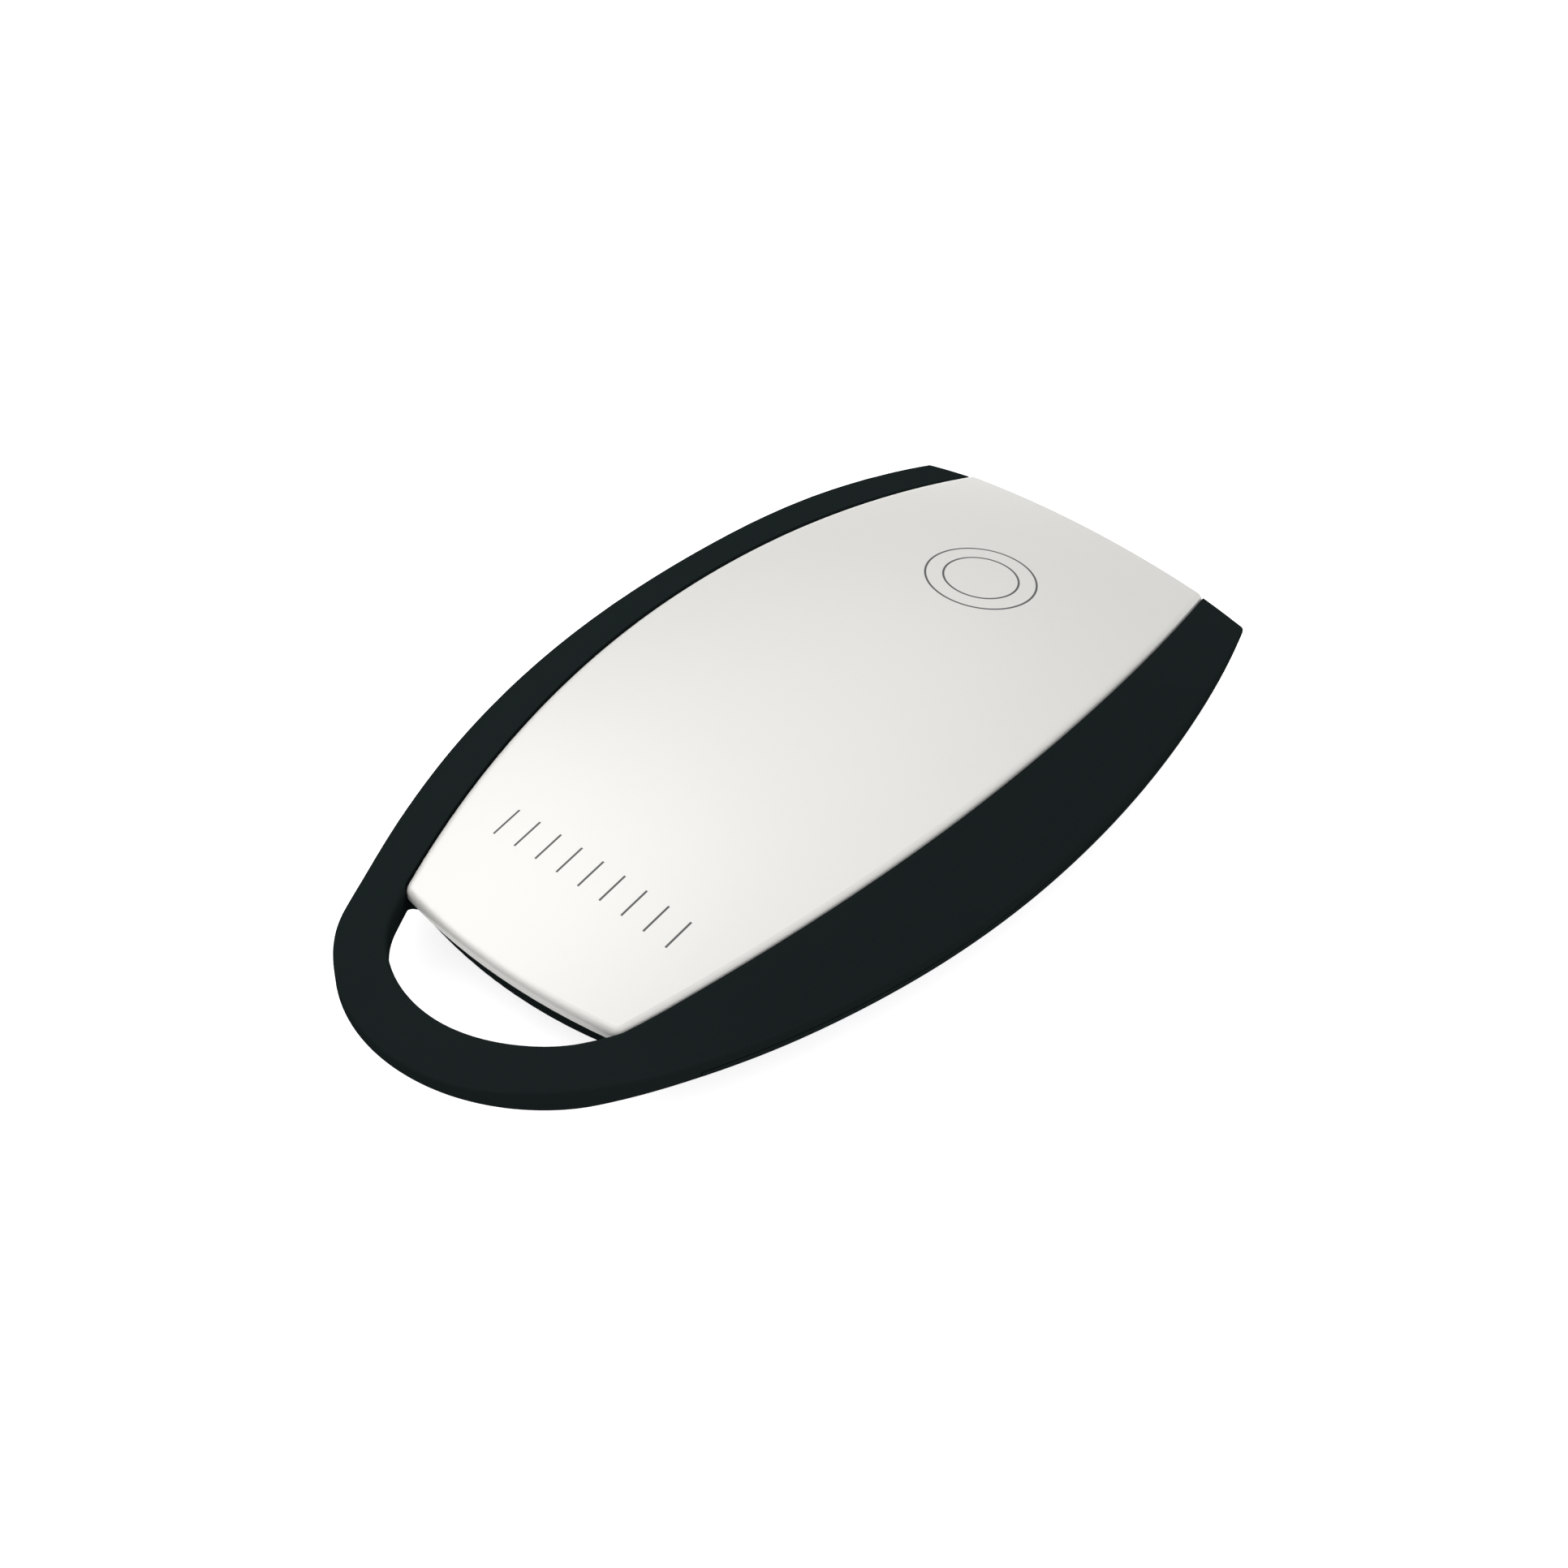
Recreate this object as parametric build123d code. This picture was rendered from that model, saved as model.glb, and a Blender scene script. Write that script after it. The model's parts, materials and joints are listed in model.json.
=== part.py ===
"""RFID key fob: two black shells with a key-ring slot, a satin cover plate and the transponder inside.

Millimetres. X runs across the fob, Y from the key loop to the wide end, Z up from the rest face.
Everything is drawn with Y measured from the tip of the loop, and moved to the middle when written.
"""
from build123d import *
import math
import os

# Body, seen from above: a nose arc, two flank arcs a side and a gently bowed far end
LENGTH = 60.0
HALF_WIDTH = 17.0
WIDEST_Y = 34.4
NOSE_RADIUS = 10.85
FAR_HALF_WIDTH = 12.4
FAR_BULGE = 0.25
FAR_CORNER_RADIUS = 0.25

# Body, seen from the side: an upright land runs all round between the domed top and back
LAND = 1.0
UPPER_LAND = 0.5
SEAM_GAP = 0.08
BACK_DEPTH = 3.1
BACK_CREST_BEHIND_WIDEST = 2.0
BACK_FRONT_RISE = 2.37
BACK_FAR_RISE = 1.72
BACK_FADE = 0.3
REST_FLAT_DEPTH = 0.35
RIM_DROOP = 1.25
FOOT_DROOP = 0.65
DROOP_RUN = 14.0
TIP_RISE = 1.03
TIP_RUN = 14.0
LOOP_RISE_RUN = 2.0
RIM_ROUND = 0.2
BACK_ROUND = 0.15

# Cover plate: a doubly arched plate with bulging sides
COVER_CREST = 4.02
COVER_CREST_BEFORE_MIDDLE = 2.3
COVER_FAR_FALL = 4.0
COVER_ARCH_RADIUS = 78.5
WING_W = 4.55
COVER_WIDEST_BEHIND_WIDEST = 0.6
COVER_FRONT_HALF_WIDTH = 8.0
COVER_FRONT_Y = 8.65
COVER_FRONT_BULGE = 0.95
WING_FAR_W = 3.2
COVER_T = 0.6
COVER_GAP = 0.05
COVER_SEAT_GAP = 0.03
COVER_PROUD = 0.1
COVER_PROUD_RUN = 14.0
COVER_FRONT_ROUND = 0.55
COVER_SIDE_ROUND = 0.12
COVER_CORNER_RADIUS = 0.8

# Tape under the cover, in its own shallow recess
TAPE_T = 0.15
TAPE_INSET = 1.6
TAPE_GAP = 0.05

# Key-ring slot
LOOP_BAND = 2.9
COVER_OVERHANG = 0.75
SLOT_CORNER_RADIUS = 0.4
SLOT_ROUND = 0.25
SLOT_BACK_ROUND = 0.7

# Shell walls and the room inside
DECK_T = 0.9
WING_WALL = 1.2
BACK_WALL = 1.0
SIDE_WALL = 2.2
LOOP_JOINT_Y = 10.6
ROOM_FRONT_Y = 13.2
ROOM_FAR_WALL = 7.0
ROOM_CORNER_RADIUS = 2.5
LIP_T = 0.7
LIP_HEIGHT = 0.6
LIP_GAP = 0.08

# Board posts in the lower shell, and the sockets above them in the upper shell
POST_RADIUS = 1.5
POST_HEIGHT = 1.6
PIN_RADIUS = 0.7
PIN_GAP = 0.05
POST_TO_BRIDGE = 0.3
SOCKET_WALL = 0.8
SOCKET_GAP = 0.15
SOCKET_DEPTH = 1.2

# Board and coil
BOARD_T = 0.8
BOARD_SIDE_GAP = 4.0
BOARD_END_GAP = 0.8
COIL_EDGE = 0.6
COIL_TURNS = 5
TRACK_W = 0.5
TRACK_GAP = 0.5
COPPER_T = 0.1
COIL_CHECK_POINTS = 12
VIA_RADIUS = 0.2
VIA_LAND = 0.4
PAD_W = 0.4
PAD_EXTRA = 0.3

# Chip and capacitor
CHIP_W = 3.0
CHIP_H = 0.85
CHIP_STANDOFF = 0.1
CHIP_ROUND = 0.12
CHIP_DIMPLE_RADIUS = 0.2
CHIP_DIMPLE_DEPTH = 0.08
CHIP_OFFSET_Y = -2.6
LEADS_PER_SIDE = 4
LEAD_PITCH = 0.65
LEAD_W = 0.3
LEAD_T = 0.15
LEAD_REACH = 0.95
LEAD_FOOT = 0.5
CAPACITOR_L = 1.6
CAPACITOR_W = 0.8
CAPACITOR_H = 0.8
CAPACITOR_CAP = 0.3
CAPACITOR_CAP_SKIN = 0.02
CAPACITOR_OFFSET_Y = 3.0

# Foam strips on the board, one each side of the chip and the capacitor
FOAM_W = 4.2
FOAM_L = 14.0
FOAM_FROM_MIDDLE = 3.3
FOAM_ROUND = 1.0
FOAM_GAP = 0.1

# How far cutting tools run, how far curved surfaces run past the fob, and the points that carry them
REACH = 30.0
MARGIN = 2.0
SURFACE_POINTS_ACROSS = 9
SURFACE_POINTS_ALONG = 17


def crest_radius(fall, run):
    """Radius of an arc that starts level and has fallen this much after this run."""
    return (fall ** 2 + run ** 2) / (2 * fall)


def arc_fall(run, radius):
    """How far an arc of this radius has fallen after this run."""
    return radius - math.sqrt(radius ** 2 - run ** 2)


# Sizes worked out from those above
BACK_CREST_Y = WIDEST_Y + BACK_CREST_BEHIND_WIDEST
BACK_FRONT_RADIUS = crest_radius(BACK_FRONT_RISE, BACK_CREST_Y - COVER_FRONT_Y)
BACK_FAR_RADIUS = crest_radius(BACK_FAR_RISE, LENGTH - BACK_CREST_Y)
DROOP_START_Y = LENGTH - DROOP_RUN
COVER_CREST_Y = (COVER_FRONT_Y - COVER_FRONT_BULGE + LENGTH) / 2 - COVER_CREST_BEFORE_MIDDLE
COVER_LONG_RADIUS = crest_radius(COVER_FAR_FALL, LENGTH - COVER_CREST_Y)
COVER_HALF_WIDTH = HALF_WIDTH - WING_W
COVER_WIDEST_Y = WIDEST_Y + COVER_WIDEST_BEHIND_WIDEST
COVER_FAR_HALF_WIDTH = FAR_HALF_WIDTH - WING_FAR_W
COVER_PROUD_START_Y = LENGTH - COVER_PROUD_RUN
RIM_Z = LAND + BACK_DEPTH - REST_FLAT_DEPTH
CREST_Z = RIM_Z + COVER_CREST
FLANK_RADIUS = (HALF_WIDTH ** 2 + WIDEST_Y ** 2 - 2 * WIDEST_Y * NOSE_RADIUS) / (
    2 * (HALF_WIDTH - NOSE_RADIUS))
FAR_CORNER_Y = LENGTH - FAR_BULGE
TAIL_RADIUS = crest_radius(HALF_WIDTH - FAR_HALF_WIDTH, FAR_CORNER_Y - WIDEST_Y)
FAR_RADIUS = crest_radius(FAR_BULGE, FAR_HALF_WIDTH)
COVER_FRONT_RADIUS = crest_radius(COVER_HALF_WIDTH - COVER_FRONT_HALF_WIDTH, COVER_WIDEST_Y - COVER_FRONT_Y)
COVER_FAR_Y = LENGTH - arc_fall(COVER_FAR_HALF_WIDTH, FAR_RADIUS)
COVER_REAR_RADIUS = crest_radius(COVER_HALF_WIDTH - COVER_FAR_HALF_WIDTH, COVER_FAR_Y - COVER_WIDEST_Y)
DROOP_RADIUS = crest_radius(RIM_DROOP, DROOP_RUN)
FOOT_RADIUS = crest_radius(FOOT_DROOP, DROOP_RUN)
SEAM_RADIUS = crest_radius((RIM_DROOP + FOOT_DROOP) / 2, DROOP_RUN)
TIP_RADIUS = crest_radius(TIP_RISE, TIP_RUN)
COVER_ARC_RADIUS = crest_radius(COVER_FRONT_BULGE, COVER_FRONT_HALF_WIDTH)
ROOM_FAR_Y = LENGTH - ROOM_FAR_WALL
FLOOR_Z = BACK_WALL
BOARD_Z = FLOOR_Z + POST_HEIGHT
BOARD_TOP = BOARD_Z + BOARD_T
BOARD_Y = (ROOM_FRONT_Y + ROOM_FAR_Y) / 2
BOARD_HALF_LENGTH = (ROOM_FAR_Y - ROOM_FRONT_Y) / 2 - BOARD_END_GAP
BOARD_RADIUS = HALF_WIDTH - SIDE_WALL - BOARD_SIDE_GAP
BOARD_STRAIGHT = BOARD_HALF_LENGTH - BOARD_RADIUS
TRACK_PITCH = TRACK_W + TRACK_GAP
COIL_OUTER = BOARD_RADIUS - COIL_EDGE - TRACK_W / 2
COIL_INNER = COIL_OUTER - COIL_TURNS * TRACK_PITCH
SOCKET_RADIUS = PIN_RADIUS + PIN_GAP + SOCKET_WALL
POST_OFFSET = BOARD_STRAIGHT + TRACK_W / 2 + POST_TO_BRIDGE + POST_RADIUS
COPPER_TOP = BOARD_TOP + COPPER_T


def rim_half_width(y):
    """Half width of the flanks at y. The nose arc isn't followed."""
    radius = FLANK_RADIUS if y < WIDEST_Y else TAIL_RADIUS
    return HALF_WIDTH - arc_fall(y - WIDEST_Y, radius)


def cover_half_width(y):
    """Half width of the cover at y."""
    radius = COVER_FRONT_RADIUS if y < COVER_WIDEST_Y else COVER_REAR_RADIUS
    return COVER_HALF_WIDTH - arc_fall(y - COVER_WIDEST_Y, radius)


def rim_height(y, droop_radius=DROOP_RADIUS):
    """Height of the rim: level, but rising along an arc to the loop's tip and drooping to the far end."""
    rise = arc_fall(max(TIP_RUN - y, 0), TIP_RADIUS)
    return RIM_Z + rise - arc_fall(max(y - DROOP_START_Y, 0), droop_radius)


def cover_height(x, y):
    """Height of the cover's outer face, an arch carried along a longer arc."""
    radius = COVER_LONG_RADIUS - arc_fall(x, COVER_ARCH_RADIUS)
    return CREST_Z - COVER_LONG_RADIUS + math.sqrt(radius ** 2 - (y - COVER_CREST_Y) ** 2)


def wing_rise(y):
    """How far the wing stands above the rim where it meets the cover. It levels off along the loop."""
    front = COVER_FRONT_Y
    if y < front:
        start = cover_height(cover_half_width(front), front) - RIM_Z
        step = 0.5
        slope = (cover_height(cover_half_width(front + step), front + step) - RIM_Z - start) / step
        run = min(front - y, LOOP_RISE_RUN)
        return start - slope * run * (1 - run / (2 * LOOP_RISE_RUN))
    late = max(y - COVER_PROUD_START_Y, 0) / COVER_PROUD_RUN
    return cover_height(cover_half_width(y), y) - COVER_PROUD * late ** 2 - rim_height(y)


def wing_height(x, y):
    """Height of the black top: a parabola across the fob through the cover's edge and the rim.

    Round the loop it falls to the tip along Y as well.
    """
    at = max(y, COVER_FRONT_Y)
    rim, cover = rim_half_width(at), cover_half_width(at)
    ahead = 1 - min(y / COVER_FRONT_Y, 1)
    return rim_height(y) + wing_rise(y) * (1 - (x / rim) ** 2 - ahead ** 2) / (1 - (cover / rim) ** 2)


def back_height(x, y):
    """Height of the back: a parabola across the fob that starts at the foot of the land.

    The foot droops less than the rim does, so that the land grows thinner to the far end.
    """
    radius = BACK_FRONT_RADIUS if y < BACK_CREST_Y else BACK_FAR_RADIUS
    depth = BACK_DEPTH - arc_fall(y - BACK_CREST_Y, radius)
    depth = (depth + math.hypot(depth, BACK_FADE)) / 2
    rim = rim_half_width(max(y, COVER_FRONT_Y))
    return rim_height(y, FOOT_RADIUS) - LAND - depth * (1 - (x / rim) ** 2)


def surface(height):
    """Smooth face through a grid of heights over the whole fob."""
    width = HALF_WIDTH + MARGIN
    rows = []
    for i in range(SURFACE_POINTS_ACROSS):
        x = width * (2 * i / (SURFACE_POINTS_ACROSS - 1) - 1)
        row = []
        for j in range(SURFACE_POINTS_ALONG):
            y = (LENGTH + 2 * MARGIN) * j / (SURFACE_POINTS_ALONG - 1) - MARGIN
            row.append(Vector(x, y, height(x, y)))
        rows.append(row)
    return Face.make_surface_from_array_of_points(rows, tol=0.005)


def below(face):
    """Solid under a face that lies over the whole fob."""
    return Solid.extrude(face, Vector(0, 0, -REACH))


def above(face):
    """Solid over a face that lies over the whole fob."""
    return Solid.extrude(face, Vector(0, 0, REACH))


def mirrored(curves):
    """The curves with their mirror images across the middle of the fob."""
    return Curve() + curves + [mirror(curve, about=Plane.YZ) for curve in curves]


def body_outline():
    """Plan of the body: nose arc, flank arcs, tail arcs and the bowed far end."""
    centre_x = HALF_WIDTH - FLANK_RADIUS
    reach = FLANK_RADIUS - NOSE_RADIUS
    touch_x = -centre_x / reach * NOSE_RADIUS
    touch_y = NOSE_RADIUS - (WIDEST_Y - NOSE_RADIUS) / reach * NOSE_RADIUS
    widest = (HALF_WIDTH, WIDEST_Y)
    corner = (FAR_HALF_WIDTH, FAR_CORNER_Y)
    side = [TangentArc((0, 0), (touch_x, touch_y), tangent=(1, 0)),
            TangentArc(widest, (touch_x, touch_y), tangent=(0, -1)),
            TangentArc(widest, corner, tangent=(0, 1)),
            TangentArc((0, LENGTH), corner, tangent=(1, 0))]
    return make_face(mirrored(side))


def cover_plan():
    """Plan of the cover plate before its front corners are rounded."""
    widest = (COVER_HALF_WIDTH, COVER_WIDEST_Y)
    front = (COVER_FRONT_HALF_WIDTH, COVER_FRONT_Y)
    far = (COVER_FAR_HALF_WIDTH, COVER_FAR_Y)
    side = [TangentArc((0, COVER_FRONT_Y - COVER_FRONT_BULGE), front, tangent=(1, 0)),
            TangentArc(widest, front, tangent=(0, -1)),
            TangentArc(widest, far, tangent=(0, 1)),
            TangentArc((0, LENGTH), far, tangent=(1, 0))]
    return make_face(mirrored(side))


def cover_outline():
    """Plan of the cover plate, with rounded front corners."""
    plan = cover_plan()
    corners = plan.vertices().filter_by(lambda v: abs(abs(v.X) - COVER_FRONT_HALF_WIDTH) < 1e-6)
    return fillet(corners, COVER_CORNER_RADIUS)


def behind_front(shift):
    """Plan of everything behind the cover's front arc, once that is moved back by shift."""
    side, far_y = HALF_WIDTH + MARGIN, LENGTH + MARGIN
    middle_y = COVER_FRONT_Y - COVER_FRONT_BULGE + shift
    end = (side, middle_y + arc_fall(side, COVER_ARC_RADIUS))
    right = [TangentArc((0, middle_y), end, tangent=(1, 0)),
             Line(end, (side, far_y)),
             Line((side, far_y), (0, far_y))]
    return make_face(mirrored(right))


def slot_outline():
    """Plan of the key-ring slot: the body's nose drawn in by the band, closed by the body's front wall."""
    plan = offset(body_outline(), -LOOP_BAND) - behind_front(COVER_OVERHANG)
    corners = plan.vertices().sort_by(Axis.Y)[-2:]
    return fillet(corners, SLOT_CORNER_RADIUS)


def band(y_low, y_high):
    """A block across the whole fob from one Y to another."""
    block = Box(2 * REACH, y_high - y_low, 2 * REACH)
    return block.moved(Location((0, (y_low + y_high) / 2, 0)))


def room_outline(grow=0.0):
    """Plan of the hollow inside the shells, or the same grown outwards."""
    inner = offset(body_outline(), grow - SIDE_WALL)
    strip = Rectangle(2 * REACH, ROOM_FAR_Y - ROOM_FRONT_Y + 2 * grow)
    strip = strip.moved(Location((0, (ROOM_FRONT_Y + ROOM_FAR_Y) / 2, 0)))
    plan = inner & strip
    corners = plan.vertices().sort_by(Axis.Y)
    return fillet(corners[:2] + corners[-2:], ROOM_CORNER_RADIUS + grow)


def column(plan, low=-REACH, high=REACH):
    """Upright prism over a plan."""
    return extrude(plan.moved(Location((0, 0, low))), high - low)


def cover_dome(depth):
    """Solid under the cover's outer face, lowered squarely to it by depth."""
    arch = COVER_ARCH_RADIUS - depth
    side = HALF_WIDTH + MARGIN
    shoulder = CREST_Z - depth - arc_fall(side, arch)
    foot = CREST_Z - REACH
    curve = Curve() + [ThreePointArc((-side, 0, shoulder), (0, 0, CREST_Z - depth), (side, 0, shoulder)),
                       Line((side, 0, shoulder), (side, 0, foot)),
                       Line((side, 0, foot), (-side, 0, foot)),
                       Line((-side, 0, foot), (-side, 0, shoulder))]
    profile = make_face(curve).moved(Location((0, COVER_CREST_Y, 0)))
    axis = Axis((0, COVER_CREST_Y, CREST_Z - COVER_LONG_RADIUS), (1, 0, 0))
    half_angle = math.degrees(math.asin((COVER_CREST_Y + MARGIN) / COVER_LONG_RADIUS))
    return revolve(profile.rotate(axis, -half_angle), axis, 2 * half_angle)


def under_rim(drop):
    """Solid under a level that is lowered from the rim by drop, across the whole fob.

    To the far end it droops midway between the rim and the foot of the land.
    """
    start = (0, DROOP_START_Y, RIM_Z - drop)
    far_y = LENGTH + MARGIN
    far = (0, far_y, rim_height(far_y, SEAM_RADIUS) - drop)
    low = -REACH
    curve = Curve() + [Line((0, -REACH, RIM_Z - drop), start),
                       TangentArc(start, far, tangent=(0, 1, 0)),
                       Line(far, (0, far_y, low)),
                       Line((0, far_y, low), (0, -REACH, low)),
                       Line((0, -REACH, low), (0, -REACH, RIM_Z - drop))]
    profile = make_face(curve).moved(Location((-REACH, 0, 0)))
    return Solid.extrude(profile.face(), Vector(2 * REACH, 0, 0))


def widest_face(shape, up):
    """The largest face that looks up (1) or down (-1)."""
    faces = shape.faces().filter_by(lambda face: face.normal_at().Z * up > 0.5)
    return faces.sort_by(SortBy.AREA)[-1]


def body_block():
    """The closed outer form of both shells, with its edges rounded and the slot through it."""
    block = column(body_outline())
    corners = block.edges().filter_by(Axis.Z).filter_by(
        lambda edge: abs(abs(edge.center().X) - FAR_HALF_WIDTH) < 1e-3)
    block = fillet(corners, FAR_CORNER_RADIUS)
    block = block & below(surface(wing_height)) & above(surface(back_height))
    block = fillet(widest_face(block, 1).outer_wire().edges(), RIM_ROUND)
    block = fillet(widest_face(block, -1).outer_wire().edges(), BACK_ROUND)
    block -= column(slot_outline())
    block = fillet(widest_face(block, 1).inner_wires()[0].edges(), SLOT_ROUND)
    block = fillet(widest_face(block, -1).inner_wires()[0].edges(), SLOT_BACK_ROUND)
    return block & column(body_outline(), 0, REACH)


def room():
    """The hollow inside both shells, under the deck and the wings and over the back wall."""
    hollow = column(room_outline())
    hollow &= cover_dome(COVER_T + COVER_SEAT_GAP + DECK_T)
    hollow &= below(surface(wing_height).moved(Location((0, 0, -WING_WALL))))
    hollow &= above(surface(back_height).moved(Location((0, 0, BACK_WALL))))
    return hollow & column(room_outline(), FLOOR_Z, REACH)


def cover_pocket():
    """What the upper shell gives up to the cover and its tape."""
    floor = COVER_T + COVER_SEAT_GAP
    pocket = column(offset(cover_outline(), COVER_GAP)) - cover_dome(floor)
    tape = column(tape_outline()) - cover_dome(floor + TAPE_T)
    return pocket + tape


def tape_outline():
    """Plan of the tape's recess."""
    return offset(cover_plan(), -TAPE_INSET, kind=Kind.INTERSECTION)


def post_places():
    """The two places on the middle line where posts, pins and sockets stand."""
    return [BOARD_Y - POST_OFFSET, BOARD_Y + POST_OFFSET]


def upright(radius, y, low, high):
    """Upright cylinder on the middle line."""
    return Solid.make_cylinder(radius, high - low, Plane((0, y, low)))


def make_upper_shell(block, hollow):
    """Wings, deck and the whole key loop."""
    taken = under_rim(UPPER_LAND) & band(LOOP_JOINT_Y, 2 * LENGTH)
    shell = block - taken - cover_pocket() - hollow
    groove = column(room_outline(LIP_T + LIP_GAP)) & under_rim(UPPER_LAND - LIP_HEIGHT - LIP_GAP)
    shell -= groove
    socket_foot = BOARD_TOP + SOCKET_GAP
    deck_inside = cover_dome(COVER_T + COVER_SEAT_GAP + TAPE_T + DECK_T / 2)
    for y in post_places():
        socket = upright(SOCKET_RADIUS, y, socket_foot, CREST_Z) & deck_inside
        shell += socket
        shell -= upright(PIN_RADIUS + PIN_GAP, y, socket_foot, socket_foot + SOCKET_DEPTH)
    return shell


def make_lower_shell(block, hollow):
    """Back wall with its lip, the board posts and the pins."""
    kept = under_rim(UPPER_LAND + SEAM_GAP) & band(LOOP_JOINT_Y + SEAM_GAP, 2 * LENGTH)
    shell = block & kept
    lip = column(room_outline(LIP_T)) & under_rim(UPPER_LAND - LIP_HEIGHT)
    lip -= under_rim(UPPER_LAND + LIP_HEIGHT)
    shell += lip
    shell -= hollow
    pin_top = BOARD_TOP + SOCKET_GAP + SOCKET_DEPTH - PIN_GAP
    for y in post_places():
        shell += upright(POST_RADIUS, y, FLOOR_Z / 2, BOARD_Z)
        shell += upright(PIN_RADIUS, y, BOARD_Z, pin_top)
    return shell


def make_cover():
    """The plate, rounded down along its front edge and eased along its sides and far edge."""
    plate = column(cover_outline()) & cover_dome(0)
    front = widest_face(plate, 1).edges().filter_by(
        lambda edge: edge.center().Y < COVER_FRONT_Y + COVER_CORNER_RADIUS)
    plate = fillet(front, COVER_FRONT_ROUND)
    sides = widest_face(plate, 1).edges().filter_by(
        lambda edge: edge.center().Y > COVER_FRONT_Y + COVER_FRONT_ROUND + COVER_CORNER_RADIUS)
    return fillet(sides, COVER_SIDE_ROUND) - cover_dome(COVER_T)


def make_tape():
    """Double-sided tape in its recess."""
    plan = offset(tape_outline(), -TAPE_GAP, kind=Kind.INTERSECTION)
    return (column(plan) & cover_dome(COVER_T)) - cover_dome(COVER_T + COVER_SEAT_GAP + TAPE_T)


def block_between(low, high):
    """Box from its lowest to its highest corner."""
    size = [high[i] - low[i] for i in range(3)]
    middle = [(high[i] + low[i]) / 2 for i in range(3)]
    return Box(*size).moved(Location(middle))


def via_places():
    """Where the two plated pins stand: at the coil's outer end, and inside the coil."""
    y = BOARD_Y - BOARD_STRAIGHT
    return [(COIL_OUTER, y), (-COIL_INNER, y)]


def make_board():
    """Oval board with holes for the pins and the plated pins."""
    plan = SlotCenterToCenter(2 * BOARD_STRAIGHT, 2 * BOARD_RADIUS).rotate(Axis.Z, 90)
    board = extrude(plan.moved(Location((0, BOARD_Y, BOARD_Z))), BOARD_T)
    for y in post_places():
        board -= upright(PIN_RADIUS + PIN_GAP, y, 0, CREST_Z)
    for x, y in via_places():
        board -= upright(VIA_RADIUS, y, 0, CREST_Z).moved(Location((x, 0, 0)))
    return board


def coil_side(shift):
    """One long side of the coil track, from its outer end inwards. A shift of 0 is its middle.

    Each turn runs up the right, round the far end, down the left and round the near end,
    where its radius shrinks by one pitch.
    """
    curves = []
    near, far = BOARD_Y - BOARD_STRAIGHT, BOARD_Y + BOARD_STRAIGHT
    for turn in range(COIL_TURNS):
        radius = COIL_OUTER - turn * TRACK_PITCH
        wide = radius + shift
        drawn = radius - TRACK_PITCH / 2 + shift
        middle_x = -TRACK_PITCH / 2
        curves += [Line((wide, near), (wide, far)),
                   ThreePointArc((wide, far), (0, far + wide), (-wide, far)),
                   Line((-wide, far), (middle_x - drawn, near)),
                   ThreePointArc((middle_x - drawn, near), (middle_x, near - drawn), (middle_x + drawn, near))]
    return curves


def coil_gap():
    """Least gap between one stretch of the track and another, measured on points of its middle line."""
    points = [curve @ (i / COIL_CHECK_POINTS) for curve in coil_side(0) for i in range(COIL_CHECK_POINTS)]
    one_turn = 4 * COIL_CHECK_POINTS
    least = min(abs(points[i] - points[j])
                for i in range(len(points))
                for j in range(i + one_turn // 2, len(points)))
    return least - TRACK_W


def make_coil():
    """Flat spiral track on top of the board, one unbroken solid with rounded ends."""
    outer, inner = coil_side(TRACK_W / 2), coil_side(-TRACK_W / 2)
    ends = [Line(outer[0] @ 0, inner[0] @ 0), Line(outer[-1] @ 1, inner[-1] @ 1)]
    plan = make_face(Curve() + outer + inner + ends)
    for x in (COIL_OUTER, COIL_INNER):
        plan += Circle(TRACK_W / 2).moved(Location((x, BOARD_Y - BOARD_STRAIGHT, 0)))
    return extrude(plan.moved(Location((0, 0, BOARD_TOP))), COPPER_T)


def make_bridge():
    """Track under the board from the coil's outer end to the inside, with a round land at each end."""
    (x_out, y), (x_in, y) = via_places()
    plan = Rectangle(x_out - x_in, TRACK_W).moved(Location(((x_out + x_in) / 2, y, 0)))
    for x in (x_out, x_in):
        plan += Circle(VIA_LAND).moved(Location((x, y, 0)))
    return extrude(plan.moved(Location((0, 0, BOARD_Z - COPPER_T))), COPPER_T)


def make_vias():
    """Two plated pins through the board."""
    return [upright(VIA_RADIUS, y, BOARD_Z, BOARD_TOP).moved(Location((x, 0, 0))) for x, y in via_places()]


def lead_rows():
    """Y of each of the chip's leads on one side."""
    middle = BOARD_Y + CHIP_OFFSET_Y
    return [middle + (i - (LEADS_PER_SIDE - 1) / 2) * LEAD_PITCH for i in range(LEADS_PER_SIDE)]


def pad_boxes():
    """Low and high X, then low and high Y, of each pad on the right-hand side: leads, then capacitor."""
    toe = CHIP_W / 2 + LEAD_REACH
    boxes = [(toe - LEAD_FOOT, toe + PAD_EXTRA, y - PAD_W / 2, y + PAD_W / 2) for y in lead_rows()]
    y = BOARD_Y + CAPACITOR_OFFSET_Y
    end = CAPACITOR_L / 2
    boxes.append((end - CAPACITOR_CAP, end + PAD_EXTRA, y - CAPACITOR_W / 2, y + CAPACITOR_W / 2))
    return boxes


def both_hands(solids):
    """The solids and their mirror images across the middle."""
    right = list(solids)
    return right + [mirror(solid, about=Plane.YZ) for solid in right]


def make_pads():
    """Copper pads under the leads and the capacitor's ends."""
    return both_hands(block_between((x0, y0, BOARD_TOP), (x1, y1, COPPER_TOP)) for x0, x1, y0, y1 in pad_boxes())


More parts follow.
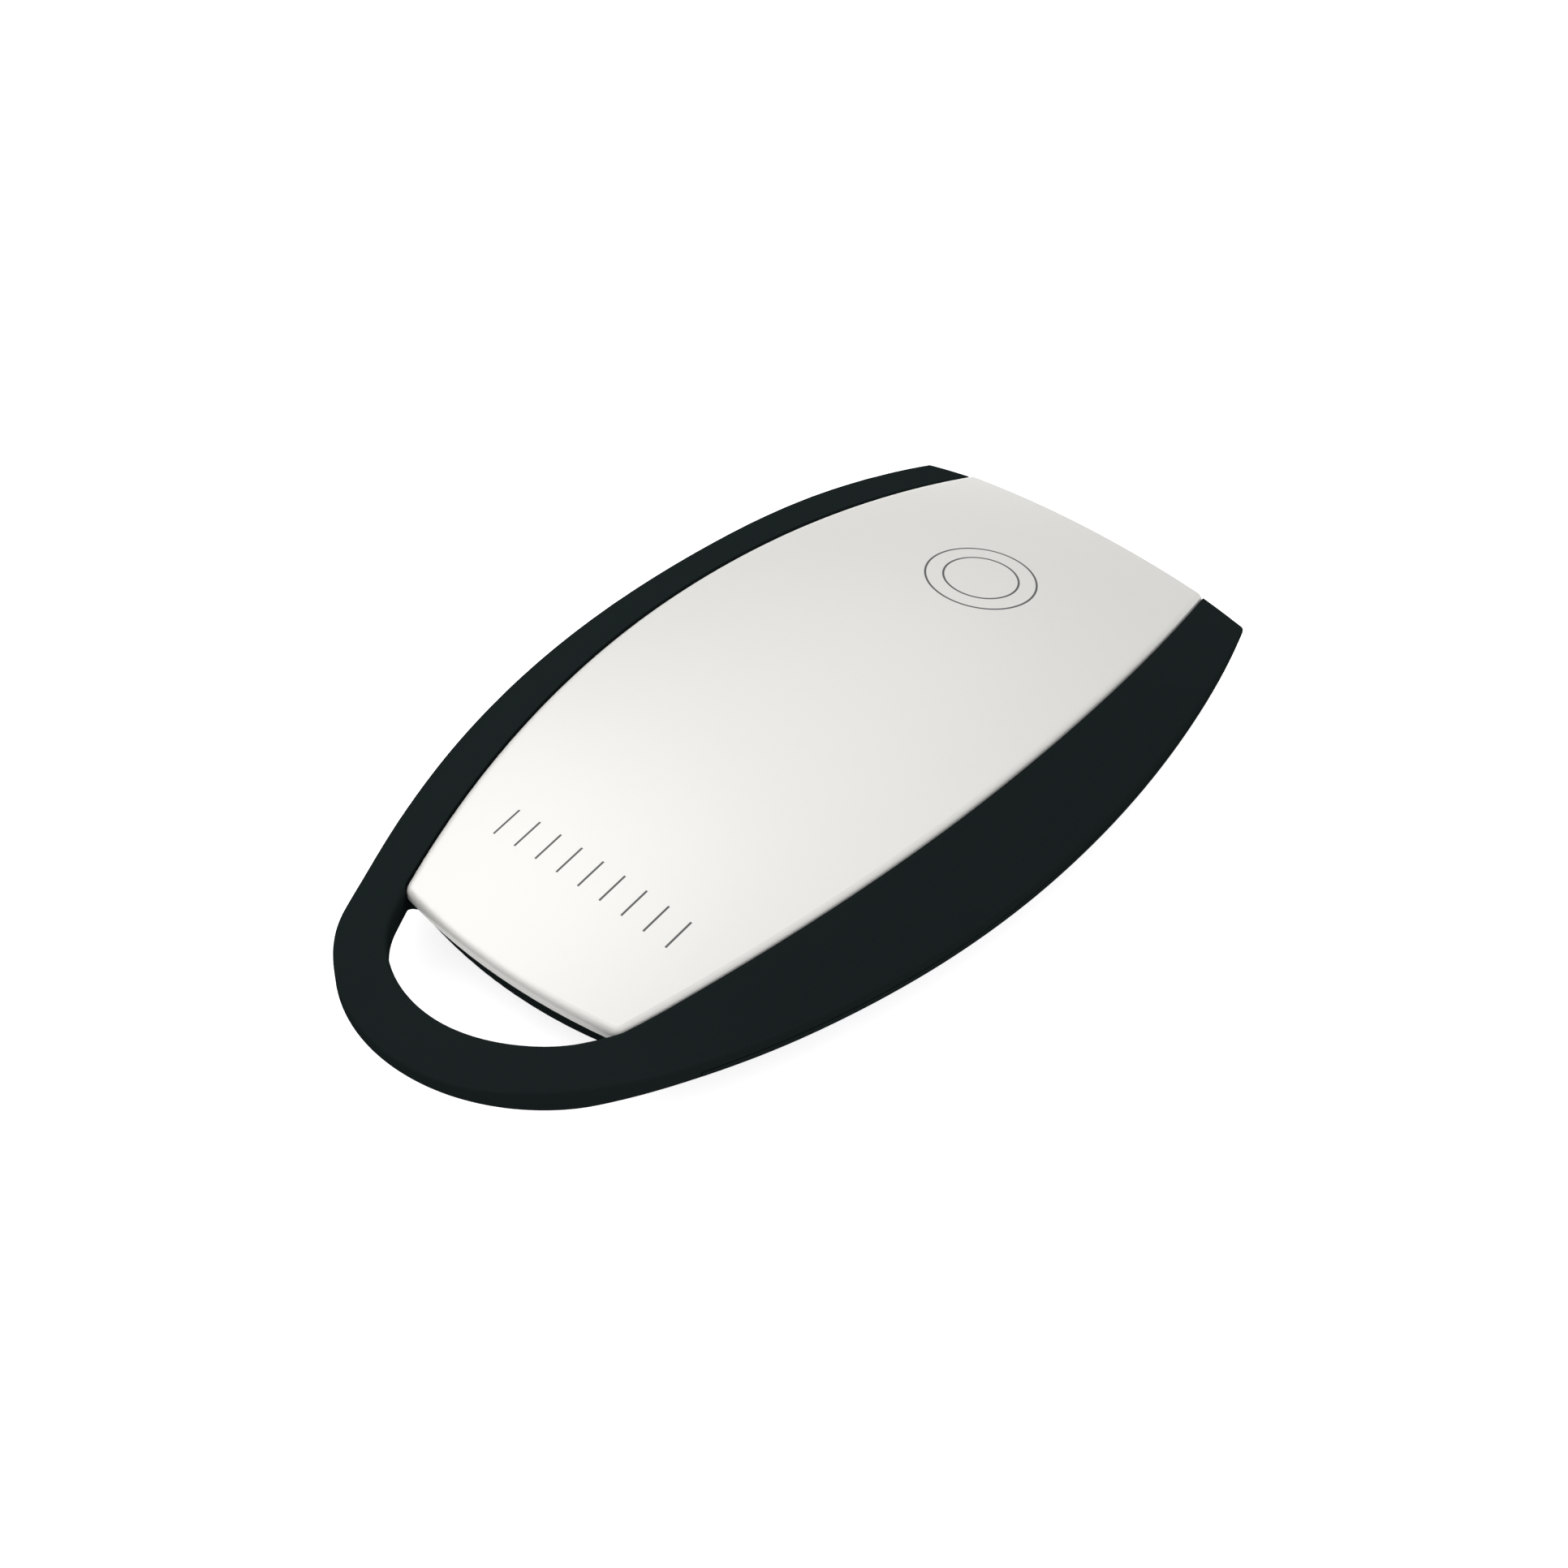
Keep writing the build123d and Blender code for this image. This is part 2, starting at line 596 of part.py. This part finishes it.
def make_feeds():
    """Two tracks that join the coil's inner end and the inner pin to chip and capacitor."""
    half = TRACK_W / 2
    start = BOARD_Y - BOARD_STRAIGHT
    first, last = pad_boxes()[0], pad_boxes()[-1]
    rows = [((box[2] + box[3]) / 2, box[1]) for box in (first, last)]
    outer, inner = COIL_INNER + half, COIL_INNER - half
    track = block_between((inner, start + half, BOARD_TOP), (outer, rows[-1][0] + PAD_W / 2, COPPER_TOP))
    for y, pad_end in rows:
        track += block_between((pad_end, y - PAD_W / 2, BOARD_TOP), (inner, y + PAD_W / 2, COPPER_TOP))
    land = Cylinder(VIA_LAND, COPPER_T).moved(Location((-COIL_INNER, start, BOARD_TOP + COPPER_T / 2)))
    return [track, mirror(track, about=Plane.YZ) + land]


def make_chip():
    """Moulded package with a dimple beside its first lead."""
    foot = COPPER_TOP + CHIP_STANDOFF
    y = BOARD_Y + CHIP_OFFSET_Y
    half = CHIP_W / 2
    body = block_between((-half, y - half, foot), (half, y + half, foot + CHIP_H))
    body = fillet(body.edges().filter_by(lambda edge: edge.center().Z > foot + CHIP_H / 4), CHIP_ROUND)
    dimple = Cylinder(CHIP_DIMPLE_RADIUS, 2 * CHIP_DIMPLE_DEPTH)
    inset = half - 2 * CHIP_DIMPLE_RADIUS - CHIP_ROUND
    return body - dimple.moved(Location((inset, y - inset, foot + CHIP_H)))


def make_leads():
    """Bent leads: out of the package's side, down, and out along the pad."""
    side = CHIP_W / 2
    toe = side + LEAD_REACH
    heel = toe - LEAD_FOOT
    low = COPPER_TOP
    high = COPPER_TOP + CHIP_STANDOFF + CHIP_H / 2
    profile = [(side, high), (heel, high), (heel + LEAD_T, high - LEAD_T), (heel + LEAD_T, low + LEAD_T),
               (toe, low + LEAD_T), (toe, low), (heel, low), (heel, high - LEAD_T), (side, high - LEAD_T)]
    leads = []
    for y in lead_rows():
        edge = Polyline([(x, y - LEAD_W / 2, z) for x, z in profile], close=True)
        leads.append(Solid.extrude(make_face(edge).face(), Vector(0, LEAD_W, 0)))
    return both_hands(leads)


def make_capacitor():
    """Ceramic body between its two end caps."""
    y = BOARD_Y + CAPACITOR_OFFSET_Y
    half = CAPACITOR_L / 2 - CAPACITOR_CAP
    skin = CAPACITOR_CAP_SKIN
    return block_between((-half, y - CAPACITOR_W / 2 + skin, COPPER_TOP + skin),
                         (half, y + CAPACITOR_W / 2 - skin, COPPER_TOP + CAPACITOR_H - skin))


def make_terminals():
    """The capacitor's two end caps."""
    y = BOARD_Y + CAPACITOR_OFFSET_Y
    end = CAPACITOR_L / 2
    cap = block_between((end - CAPACITOR_CAP, y - CAPACITOR_W / 2, COPPER_TOP),
                        (end, y + CAPACITOR_W / 2, COPPER_TOP + CAPACITOR_H))
    return both_hands([cap])


def make_solder():
    """A wedge of solder at each lead's toe and each end of the capacitor."""
    rows = [(CHIP_W / 2 + LEAD_REACH, y, LEAD_W, LEAD_T) for y in lead_rows()]
    rows.append((CAPACITOR_L / 2, BOARD_Y + CAPACITOR_OFFSET_Y, CAPACITOR_W, CAPACITOR_H / 2))
    wedges = []
    for x, y, width, height in rows:
        profile = [(x, COPPER_TOP), (x + PAD_EXTRA, COPPER_TOP), (x, COPPER_TOP + height)]
        edge = Polyline([(px, y - width / 2, pz) for px, pz in profile], close=True)
        wedges.append(Solid.extrude(make_face(edge).face(), Vector(0, width, 0)))
    return both_hands(wedges)


def make_foam():
    """Two soft strips on the coil, cut to the arch of the deck above them."""
    plan = RectangleRounded(FOAM_W, FOAM_L, FOAM_ROUND)
    place = Location((FOAM_FROM_MIDDLE + FOAM_W / 2, BOARD_Y, COPPER_TOP))
    strip = extrude(plan.moved(place), REACH) & cover_dome(COVER_T + COVER_SEAT_GAP + DECK_T + FOAM_GAP)
    return both_hands([strip])


def write(name, piece):
    """Save one node, moved so that the middle of the fob stands over the origin."""
    solids = piece if isinstance(piece, list) else [piece]
    solids = [solid for each in solids for solid in each.solids()]
    place = Location((0, -LENGTH / 2, 0))
    moved = [solid.moved(place) for solid in solids]
    export_step(moved[0] if len(moved) == 1 else Compound(children=moved), f"parts/{name}.step")


def main():
    os.makedirs("parts", exist_ok=True)
    block = body_block()
    hollow = room()
    write("upper_shell", make_upper_shell(block, hollow))
    write("lower_shell", make_lower_shell(block, hollow))
    write("front_cover", make_cover())
    write("cover_adhesive", make_tape())
    write("antenna_board", make_board())
    write("antenna_coil", make_coil())
    write("bridge_track", make_bridge())
    write("bridge_vias", make_vias())
    write("feed_tracks", make_feeds())
    write("solder_pads", make_pads())
    write("transponder_chip", make_chip())
    write("chip_leads", make_leads())
    write("tuning_capacitor", make_capacitor())
    write("capacitor_terminals", make_terminals())
    write("solder_joints", make_solder())
    write("foam_pad", make_foam())
    print(f"least gap between the coil's turns {coil_gap():.2f} mm")


if __name__ == "__main__":
    main()
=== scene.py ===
"""Looks of the key fob: a satin pearl cover on a fine matte black body, on a pale floor in soft light."""
import json
import math

import bpy
from mathutils import Matrix, Vector


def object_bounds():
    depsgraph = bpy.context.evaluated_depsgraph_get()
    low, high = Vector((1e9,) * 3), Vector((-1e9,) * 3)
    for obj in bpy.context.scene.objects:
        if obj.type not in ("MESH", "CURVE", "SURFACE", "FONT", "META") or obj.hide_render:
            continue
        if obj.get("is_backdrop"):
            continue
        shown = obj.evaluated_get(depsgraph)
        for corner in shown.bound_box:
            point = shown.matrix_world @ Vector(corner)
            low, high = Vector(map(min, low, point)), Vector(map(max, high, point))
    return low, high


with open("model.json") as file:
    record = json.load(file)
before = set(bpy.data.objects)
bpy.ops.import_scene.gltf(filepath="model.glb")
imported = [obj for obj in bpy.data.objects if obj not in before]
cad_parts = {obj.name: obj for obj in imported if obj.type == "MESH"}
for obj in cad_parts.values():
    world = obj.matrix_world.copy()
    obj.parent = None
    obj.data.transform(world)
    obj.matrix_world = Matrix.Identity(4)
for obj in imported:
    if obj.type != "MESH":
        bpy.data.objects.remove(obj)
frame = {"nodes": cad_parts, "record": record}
nodes = frame["nodes"]
cad_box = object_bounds()

MM = 0.001

# The photograph's view, found by fitting the outline of the fob in the picture.
# The camera is aimed near the middle of the fob, at the height of its rim.
IMAGE_SIDE = 1932
VIEW_AZIMUTH = math.radians(40.32)
VIEW_ELEVATION = math.radians(43.508)
VIEW_ROLL = math.radians(1.044)
FOCAL_PIXELS = 3405.6
PIXELS_PER_MM = 21.469
RIM_Z = 3.75 * MM
AIM_RIGHT = -0.575 * MM
AIM_UP = 0.933 * MM
SENSOR_MM = 36.0
NEAREST_SEEN = 10 * MM

# Black plastic: its two tones, its grain and mottling in waves to a millimetre, and how deep the grain is
BLACK_DEEP = (0.0108, 0.0156, 0.0158, 1.0)
BLACK_PALE = (0.0130, 0.0180, 0.0182, 1.0)
PLASTIC_GRAIN = 9.0
PLASTIC_PITS = 3.0
PLASTIC_MOTTLE = 0.12
GRAIN_DEPTH = 0.012 * MM

# Pearl paint: its two tones, its flakes and clouds in waves to a millimetre, and its gloss
PEARL_LOW = (0.800, 0.793, 0.764, 1.0)
PEARL_HIGH = (0.845, 0.838, 0.808, 1.0)
PEARL_FLAKES = 14.0
PEARL_CLOUDS = 0.07
FLAKE_DEPTH = 0.002 * MM
PEARL_METAL = 0.18
PEARL_COAT = 0.12
PEARL_COAT_ROUGHNESS = 0.22

# Plain marks in thin grey strokes, in millimetres, on faces whose normal has more than PRINT_FACES_UP in Z
PRINT_GREY = (0.085, 0.085, 0.088, 1.0)
PRINT_COAT = 0.04
PRINT_FACES_UP = 0.8
STROKE = 0.10
STROKE_EDGE = 0.03
RINGS_Y = 19.0
RING_RADII = (3.4, 2.3)
TICKS_Y = -15.0
TICK_PITCH = 1.6
TICK_LENGTH = 2.0
TICKS_HALF_WIDTH = 6.4

# Inside pieces: two tones each, patterns in waves to a millimetre, and how deep they are.
# The tape's fibres have their waves along X, Y and Z, and the cloth's pitch is in millimetres.
TAPE_DEEP = (0.6600, 0.6534, 0.6270, 1.0)
TAPE_PALE = (0.7800, 0.7722, 0.7488, 1.0)
TAPE_FIBRES = (6.0, 0.6, 6.0)
FIBRE_DEPTH = 0.01 * MM
BOARD_DEEP = (0.020, 0.125, 0.045, 1.0)
BOARD_PALE = (0.040, 0.215, 0.085, 1.0)
BOARD_PATCHES = 0.3
WEAVE_PITCH = 0.45
WEAVE_DEPTH = 0.006 * MM
COPPER_BRIGHT = (0.80, 0.42, 0.25, 1.0)
COPPER_BROWN = (0.42, 0.20, 0.12, 1.0)
COPPER_TARNISH = 1.1
COPPER_ETCH = 18.0
ETCH_DEPTH = 0.004 * MM
MOULD_DEEP = (0.012, 0.012, 0.012, 1.0)
MOULD_PALE = (0.024, 0.024, 0.024, 1.0)
MOULD_FILLER = 22.0
FILLER_DEPTH = 0.004 * MM
TIN_DULL = (0.60, 0.60, 0.60, 1.0)
TIN_BRIGHT = (0.7400, 0.7400, 0.7252, 1.0)
TIN_FROST = 9.0
FROST_DEPTH = 0.006 * MM
CERAMIC_TAN = (0.47, 0.34, 0.22, 1.0)
CERAMIC_BROWN = (0.36, 0.25, 0.16, 1.0)
CERAMIC_SPECKS = 16.0
SPECK_DEPTH = 0.003 * MM
# The foam's darker tone is painted shade in the hollows of its cells, mixed with a random patch tone.
FOAM_DEEP = (0.028, 0.028, 0.028, 1.0)
FOAM_PALE = (0.0850, 0.0850, 0.08925, 1.0)
FOAM_CELLS = 2.6
FOAM_PATCHES = 1.5
CELL_DEPTH = 0.15 * MM

# Studio, in metres: the floor lies just under the fob, with a low backdrop round it.
# Both are the same pale grey, with a lift of white that only the rays in LIFTED_RAYS see.
WHITE = (1.0, 1.0, 1.0, 1.0)
FLOOR_GREY = (0.8, 0.8, 0.8, 1.0)
FLOOR_ROUGHNESS = 0.9
FLOOR_REACH = 1.2
FLOOR_GAP = 0.01 * MM
BACKDROP_HEIGHT = 0.14
FLOOR_LIFT = 0.8
LIFTED_RAYS = ("Is Camera Ray", "Is Glossy Ray", "Is Transmission Ray")
HORIZON_LIGHT = 0.05
OVERHEAD_LIGHT = 0.93

# Lamps, all at one distance in metres: azimuth and elevation in degrees, side in metres, power in watts
LAMP_DISTANCE = 0.6
LAMPS = {
    "key": (-90, 50, 0.45, 0.85),
    "fill": (-60, 40, 0.45, 0.55),
    "sheen": (-130, 48, 0.45, 0.26),
    "side": (85, 12, 0.40, 0.75),
}


class Wire:
    """A node's output that can be used in sums, products and comparisons."""

    def __init__(self, maker, socket):
        self.maker = maker
        self.socket = socket

    def _math(self, operation, *values, clamp=False):
        return self.maker.node("ShaderNodeMath", {"operation": operation, "use_clamp": clamp}, values)

    def __add__(self, other):
        return self._math("ADD", self, other)

    def __radd__(self, other):
        return self._math("ADD", other, self)

    def __sub__(self, other):
        return self._math("SUBTRACT", self, other)

    def __rsub__(self, other):
        return self._math("SUBTRACT", other, self)

    def __mul__(self, other):
        return self._math("MULTIPLY", self, other)

    def __rmul__(self, other):
        return self._math("MULTIPLY", other, self)

    def __truediv__(self, other):
        return self._math("DIVIDE", self, other)

    def __pow__(self, other):
        return self._math("POWER", self, other)

    def __abs__(self):
        return self._math("ABSOLUTE", self)

    def __gt__(self, other):
        return self._math("GREATER_THAN", self, other)

    def __round__(self):
        return self._math("ROUND", self)

    def sine(self):
        """The sine of an angle in radians."""
        return self._math("SINE", self)

    def clamp(self):
        """The value held between 0 and 1."""
        return self._math("ADD", self, 0.0, clamp=True)


class NodeMaker:
    """Adds nodes to the tree of one material, or of the world."""

    def __init__(self, tree):
        self.tree = tree

    def plug(self, socket, value):
        """Give a socket a wire, or a plain value."""
        if isinstance(value, Wire):
            self.tree.links.new(value.socket, socket)
        else:
            socket.default_value = value

    def node(self, kind, settings=None, sockets=(), out=0):
        """Add a node: settings first, then sockets in order, or by name or number. Returns one output."""
        made = self.tree.nodes.new(kind)
        for name, value in (settings or {}).items():
            setattr(made, name, value)
        fed = sockets.items() if isinstance(sockets, dict) else enumerate(sockets)
        for socket, value in fed:
            self.plug(made.inputs[socket], value)
        return Wire(self, made.outputs[out])

    def part(self, vector, axis):
        """One of a vector's three parts: X, Y or Z."""
        return self.node("ShaderNodeSeparateXYZ", None, [vector], axis)


class Finish(NodeMaker):
    """One material's nodes, with a Principled shader that feeds the output."""

    def __init__(self, name):
        self.material = bpy.data.materials.new(name)
        self.material.use_nodes = True
        super().__init__(self.material.node_tree)
        self.tree.nodes.clear()
        output = self.tree.nodes.new("ShaderNodeOutputMaterial")
        self.surface = self.tree.nodes.new("ShaderNodeBsdfPrincipled")
        self.tree.links.new(self.surface.outputs[0], output.inputs["Surface"])

    def place(self):
        """Object coordinates in millimetres."""
        metres = self.node("ShaderNodeTexCoord", out="Object")
        return self.node("ShaderNodeVectorMath", {"operation": "SCALE"}, {0: metres, "Scale": 1 / MM})

    def noise(self, vector, waves, detail=2.0, roughness=0.5):
        """Noise from 0 to 1 with this many waves to a millimetre."""
        return self.node("ShaderNodeTexNoise", None,
                         {"Vector": vector, "Scale": waves, "Detail": detail, "Roughness": roughness})

    def blend(self, factor, low, high):
        """Colour between two colours."""
        return self.node("ShaderNodeMix", {"data_type": "RGBA"}, {0: factor, 6: low, 7: high}, out=2)

    def bump(self, height, distance, strength=1.0):
        """Normal from a height from 0 to 1 that stands for this distance."""
        return self.node("ShaderNodeBump", None,
                         {"Height": height, "Distance": distance, "Strength": strength})

    def feed(self, **sockets):
        """Set or link sockets of the Principled shader, and give the material."""
        for name, value in sockets.items():
            self.plug(self.surface.inputs[name.replace("_", " ")], value)
        return self.material


def between(factor, low, high):
    """Value that goes from low to high as a factor goes from 0 to 1."""
    return low + (high - low) * factor


def smooth_band(distance, half_width, edge):
    """1 where a distance is within half a width, falling to 0 over an edge's width."""
    return ((half_width + edge - abs(distance)) / edge).clamp()


def black_plastic():
    """Fine matte moulded black: the even grain of a spark-eroded mould, with faint broad mottling."""
    finish = Finish("black_plastic")
    place = finish.place()
    grain = finish.noise(place, PLASTIC_GRAIN, detail=3.0, roughness=0.6)
    pits = finish.noise(place, PLASTIC_PITS)
    mottle = finish.noise(place, PLASTIC_MOTTLE)
    return finish.feed(
        Base_Color=finish.blend(0.7 * mottle + 0.3 * grain, BLACK_DEEP, BLACK_PALE),
        Roughness=between(grain, 0.56, 0.70),
        Specular_IOR_Level=0.0,
        Normal=finish.bump(0.6 * grain + 0.4 * pits, GRAIN_DEPTH, strength=0.5))


def printed_marks(x, y):
    """Mask of the cover's print: two thin rings near the wide end, and a row of short ticks near the loop."""
    radius = (x * x + (y - RINGS_Y) * (y - RINGS_Y)) ** 0.5
    rings = sum(smooth_band(radius - each, STROKE / 2, STROKE_EDGE) for each in RING_RADII)
    along = smooth_band(y - TICKS_Y, TICK_LENGTH / 2, STROKE_EDGE)
    row = smooth_band(x, TICKS_HALF_WIDTH + STROKE, STROKE_EDGE)
    from_tick = x - TICK_PITCH * round(x / TICK_PITCH)
    ticks = smooth_band(from_tick, STROKE / 2, STROKE_EDGE) * along * row
    return (rings + ticks).clamp()


def satin_cover():
    """Warm pearl paint: near white, with flakes too small to tell apart, a soft coat and thin grey print."""
    finish = Finish("satin_cover")
    place = finish.place()
    flakes = finish.noise(place, PEARL_FLAKES, roughness=0.7)
    clouds = finish.noise(place, PEARL_CLOUDS)
    paint = finish.blend(0.5 * flakes + 0.5 * clouds, PEARL_LOW, PEARL_HIGH)
    upward = finish.part(finish.node("ShaderNodeTexCoord", out="Normal"), "Z")
    marks = printed_marks(finish.part(place, "X"), finish.part(place, "Y")) * (upward > PRINT_FACES_UP)
    return finish.feed(
        Base_Color=finish.blend(marks, paint, PRINT_GREY),
        Metallic=between(marks, PEARL_METAL, 0.0),
        Roughness=between(flakes, 0.36, 0.42) + 0.12 * marks,
        Coat_Weight=between(marks, PEARL_COAT, PRINT_COAT),
        Coat_Roughness=PEARL_COAT_ROUGHNESS,
        Normal=finish.bump(flakes, FLAKE_DEPTH, strength=0.3))


def adhesive_tape():
    """White tape with a faint fibre along its length."""
    finish = Finish("adhesive_tape")
    stretched = finish.node("ShaderNodeVectorMath", {"operation": "MULTIPLY"}, [finish.place(), TAPE_FIBRES])
    fibre = finish.noise(stretched, 1.0, detail=3.0, roughness=0.6)
    return finish.feed(
        Base_Color=finish.blend(fibre, TAPE_DEEP, TAPE_PALE),
        Roughness=between(fibre, 0.50, 0.65),
        Normal=finish.bump(fibre, FIBRE_DEPTH, strength=0.4))


def weave_wave(length):
    """Sine of a length, one wave to a pitch of the cloth."""
    return (length * (2 * math.pi / WEAVE_PITCH)).sine()


def board_laminate():
    """Green lacquer over glass cloth, whose warp and weft show as a fine weave."""
    finish = Finish("board_laminate")
    place = finish.place()
    warp = weave_wave(finish.part(place, "X"))
    weft = weave_wave(finish.part(place, "Y"))
    weave = 0.25 * (warp + weft) + 0.5
    patches = finish.noise(place, BOARD_PATCHES)
    return finish.feed(
        Base_Color=finish.blend(0.6 * weave + 0.4 * patches, BOARD_DEEP, BOARD_PALE),
        Roughness=between(weave, 0.32, 0.44),
        Normal=finish.bump(weave, WEAVE_DEPTH, strength=0.5))


def copper():
    """Etched copper with brown patches where it has begun to tarnish."""
    finish = Finish("copper")
    place = finish.place()
    tarnish = finish.noise(place, COPPER_TARNISH, detail=4.0, roughness=0.65) ** 2.0
    etch = finish.noise(place, COPPER_ETCH, roughness=0.6)
    return finish.feed(
        Base_Color=finish.blend(tarnish, COPPER_BRIGHT, COPPER_BROWN),
        Metallic=1.0,
        Roughness=between(etch, 0.26, 0.40) + 0.2 * tarnish,
        Normal=finish.bump(etch, ETCH_DEPTH, strength=0.4))


def chip_mould():
    """Black moulding compound with its fine glass filler."""
    finish = Finish("chip_mould")
    filler = finish.noise(finish.place(), MOULD_FILLER, detail=3.0, roughness=0.7)
    return finish.feed(
        Base_Color=finish.blend(filler, MOULD_DEEP, MOULD_PALE),
        Roughness=between(filler, 0.50, 0.68),
        Normal=finish.bump(filler, FILLER_DEPTH, strength=0.5))


def tinned_metal():
    """Tin and solder: bright, softly frosted."""
    finish = Finish("tinned_metal")
    frost = finish.noise(finish.place(), TIN_FROST, detail=3.0, roughness=0.6)
    return finish.feed(
        Base_Color=finish.blend(frost, TIN_DULL, TIN_BRIGHT),
        Metallic=1.0,
        Roughness=between(frost, 0.20, 0.38),
        Normal=finish.bump(frost, FROST_DEPTH, strength=0.4))


def ceramic():
    """Tan fired ceramic with darker specks."""
    finish = Finish("ceramic")
    specks = finish.noise(finish.place(), CERAMIC_SPECKS, detail=3.0, roughness=0.7)
    return finish.feed(
        Base_Color=finish.blend(specks, CERAMIC_TAN, CERAMIC_BROWN),
        Roughness=between(specks, 0.38, 0.50),
        Normal=finish.bump(specks, SPECK_DEPTH, strength=0.4))


def foam():
    """Dark open-cell foam: rounded cells, darkened in their hollows with painted shade, with paler walls
    between them.
    """
    finish = Finish("foam")
    place = finish.place()
    cells = finish.node("ShaderNodeTexVoronoi", {"feature": "F1"}, {"Vector": place, "Scale": FOAM_CELLS})
    depth = cells.clamp()
    patches = finish.noise(place, FOAM_PATCHES)
    return finish.feed(
        # Colour is darker in each cell's hollow as painted shade, following the cell depth that also drives
        # the bump, with random patches mixed in.
        Base_Color=finish.blend(0.7 * depth + 0.3 * patches, FOAM_DEEP, FOAM_PALE),
        Roughness=between(depth, 0.82, 0.96),
        Normal=finish.bump(depth, CELL_DEPTH, strength=0.8))


def dress_pieces():
    """Give each piece the finish that the record names for it."""
    finishes = {make.__name__: make() for make in (
        satin_cover, black_plastic, adhesive_tape, board_laminate, copper,
        chip_mould, tinned_metal, ceramic, foam)}
    for part in frame["record"]["subparts"]:
        piece = nodes[part["node"]]
        piece.data.materials.clear()
        piece.data.materials.append(finishes[part["material_slot"]])


def direction_to(azimuth, elevation):
    """Unit vector towards an azimuth and elevation in radians. Azimuth 0 is on the loop's side."""
    level = math.cos(elevation)
    return Vector((math.sin(azimuth) * level, -math.cos(azimuth) * level, math.sin(elevation)))


def make_camera():
    """The photograph's view: a camera at the fitted direction, distance, roll and lens."""
    back = direction_to(VIEW_AZIMUTH, VIEW_ELEVATION)
    level = Vector((math.cos(VIEW_AZIMUTH), math.sin(VIEW_AZIMUTH), 0))
    rise = back.cross(level)
    right = math.cos(VIEW_ROLL) * level + math.sin(VIEW_ROLL) * rise
    up = math.cos(VIEW_ROLL) * rise - math.sin(VIEW_ROLL) * level
    distance = FOCAL_PIXELS / PIXELS_PER_MM * MM
    data = bpy.data.cameras.new("camera")
    data.sensor_width = SENSOR_MM
    data.lens = FOCAL_PIXELS * SENSOR_MM / IMAGE_SIDE
    data.clip_start = NEAREST_SEEN
    camera = bpy.data.objects.new("camera", data)
    camera.matrix_world = Matrix((right, up, back)).transposed().to_4x4()
    camera.location = Vector((0, 0, RIM_Z)) - AIM_RIGHT * right - AIM_UP * up + distance * back
    bpy.context.scene.collection.objects.link(camera)
    bpy.context.scene.camera = camera


def make_lamp(name, azimuth, elevation, side, power):
    """Square soft lamp that looks at the fob."""
    data = bpy.data.lights.new(name, "AREA")
    data.size = side
    data.energy = power
    lamp = bpy.data.objects.new(name, data)
    back = direction_to(math.radians(azimuth), math.radians(elevation))
    lamp.matrix_world = back.to_track_quat("Z", "Y").to_matrix().to_4x4()
    lamp.location = back * LAMP_DISTANCE
    bpy.context.scene.collection.objects.link(lamp)


def make_world():
    """Soft white room, dimmer at the horizon than overhead."""
    world = bpy.data.worlds.new("studio")
    world.use_nodes = True
    room = NodeMaker(world.node_tree)
    height = room.part(room.node("ShaderNodeTexCoord", out="Generated"), "Z").clamp()
    background = room.tree.nodes["Background"]
    room.plug(background.inputs["Color"], WHITE)
    room.plug(background.inputs["Strength"], between(height, HORIZON_LIGHT, OVERHEAD_LIGHT))
    bpy.context.scene.world = world


def make_floor():
    """Pale floor and backdrop. What the camera sees is lifted to white, and the fob's shadow stays."""
    mesh = bpy.data.meshes.new("floor")
    corners = [(-1, -1), (1, -1), (1, 1), (-1, 1)]
    foot = [(x * FLOOR_REACH, y * FLOOR_REACH, -FLOOR_GAP) for x, y in corners]
    top = [(x, y, BACKDROP_HEIGHT) for x, y, z in foot]
    walls = [(side, (side + 1) % 4, 4 + (side + 1) % 4, 4 + side) for side in range(4)]
    mesh.from_pydata(foot + top, [], [(0, 1, 2, 3)] + walls)
    finish = Finish("floor")
    lifted = sum(finish.node("ShaderNodeLightPath", out=ray) for ray in LIFTED_RAYS)
    mesh.materials.append(finish.feed(
        Base_Color=FLOOR_GREY,
        Roughness=FLOOR_ROUGHNESS,
        Specular_IOR_Level=0.0,
        Emission_Color=WHITE,
        Emission_Strength=lifted * FLOOR_LIFT))
    floor = bpy.data.objects.new("floor", mesh)
    bpy.context.scene.collection.objects.link(floor)
    floor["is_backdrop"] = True


dress_pieces()
bpy.context.scene.view_settings.view_transform = "Standard"
make_camera()
make_world()
for name, placing in LAMPS.items():
    make_lamp(name, *placing)
make_floor()

({"cad": [list(corner) for corner in cad_box],
           "visual": [list(corner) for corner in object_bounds()]})
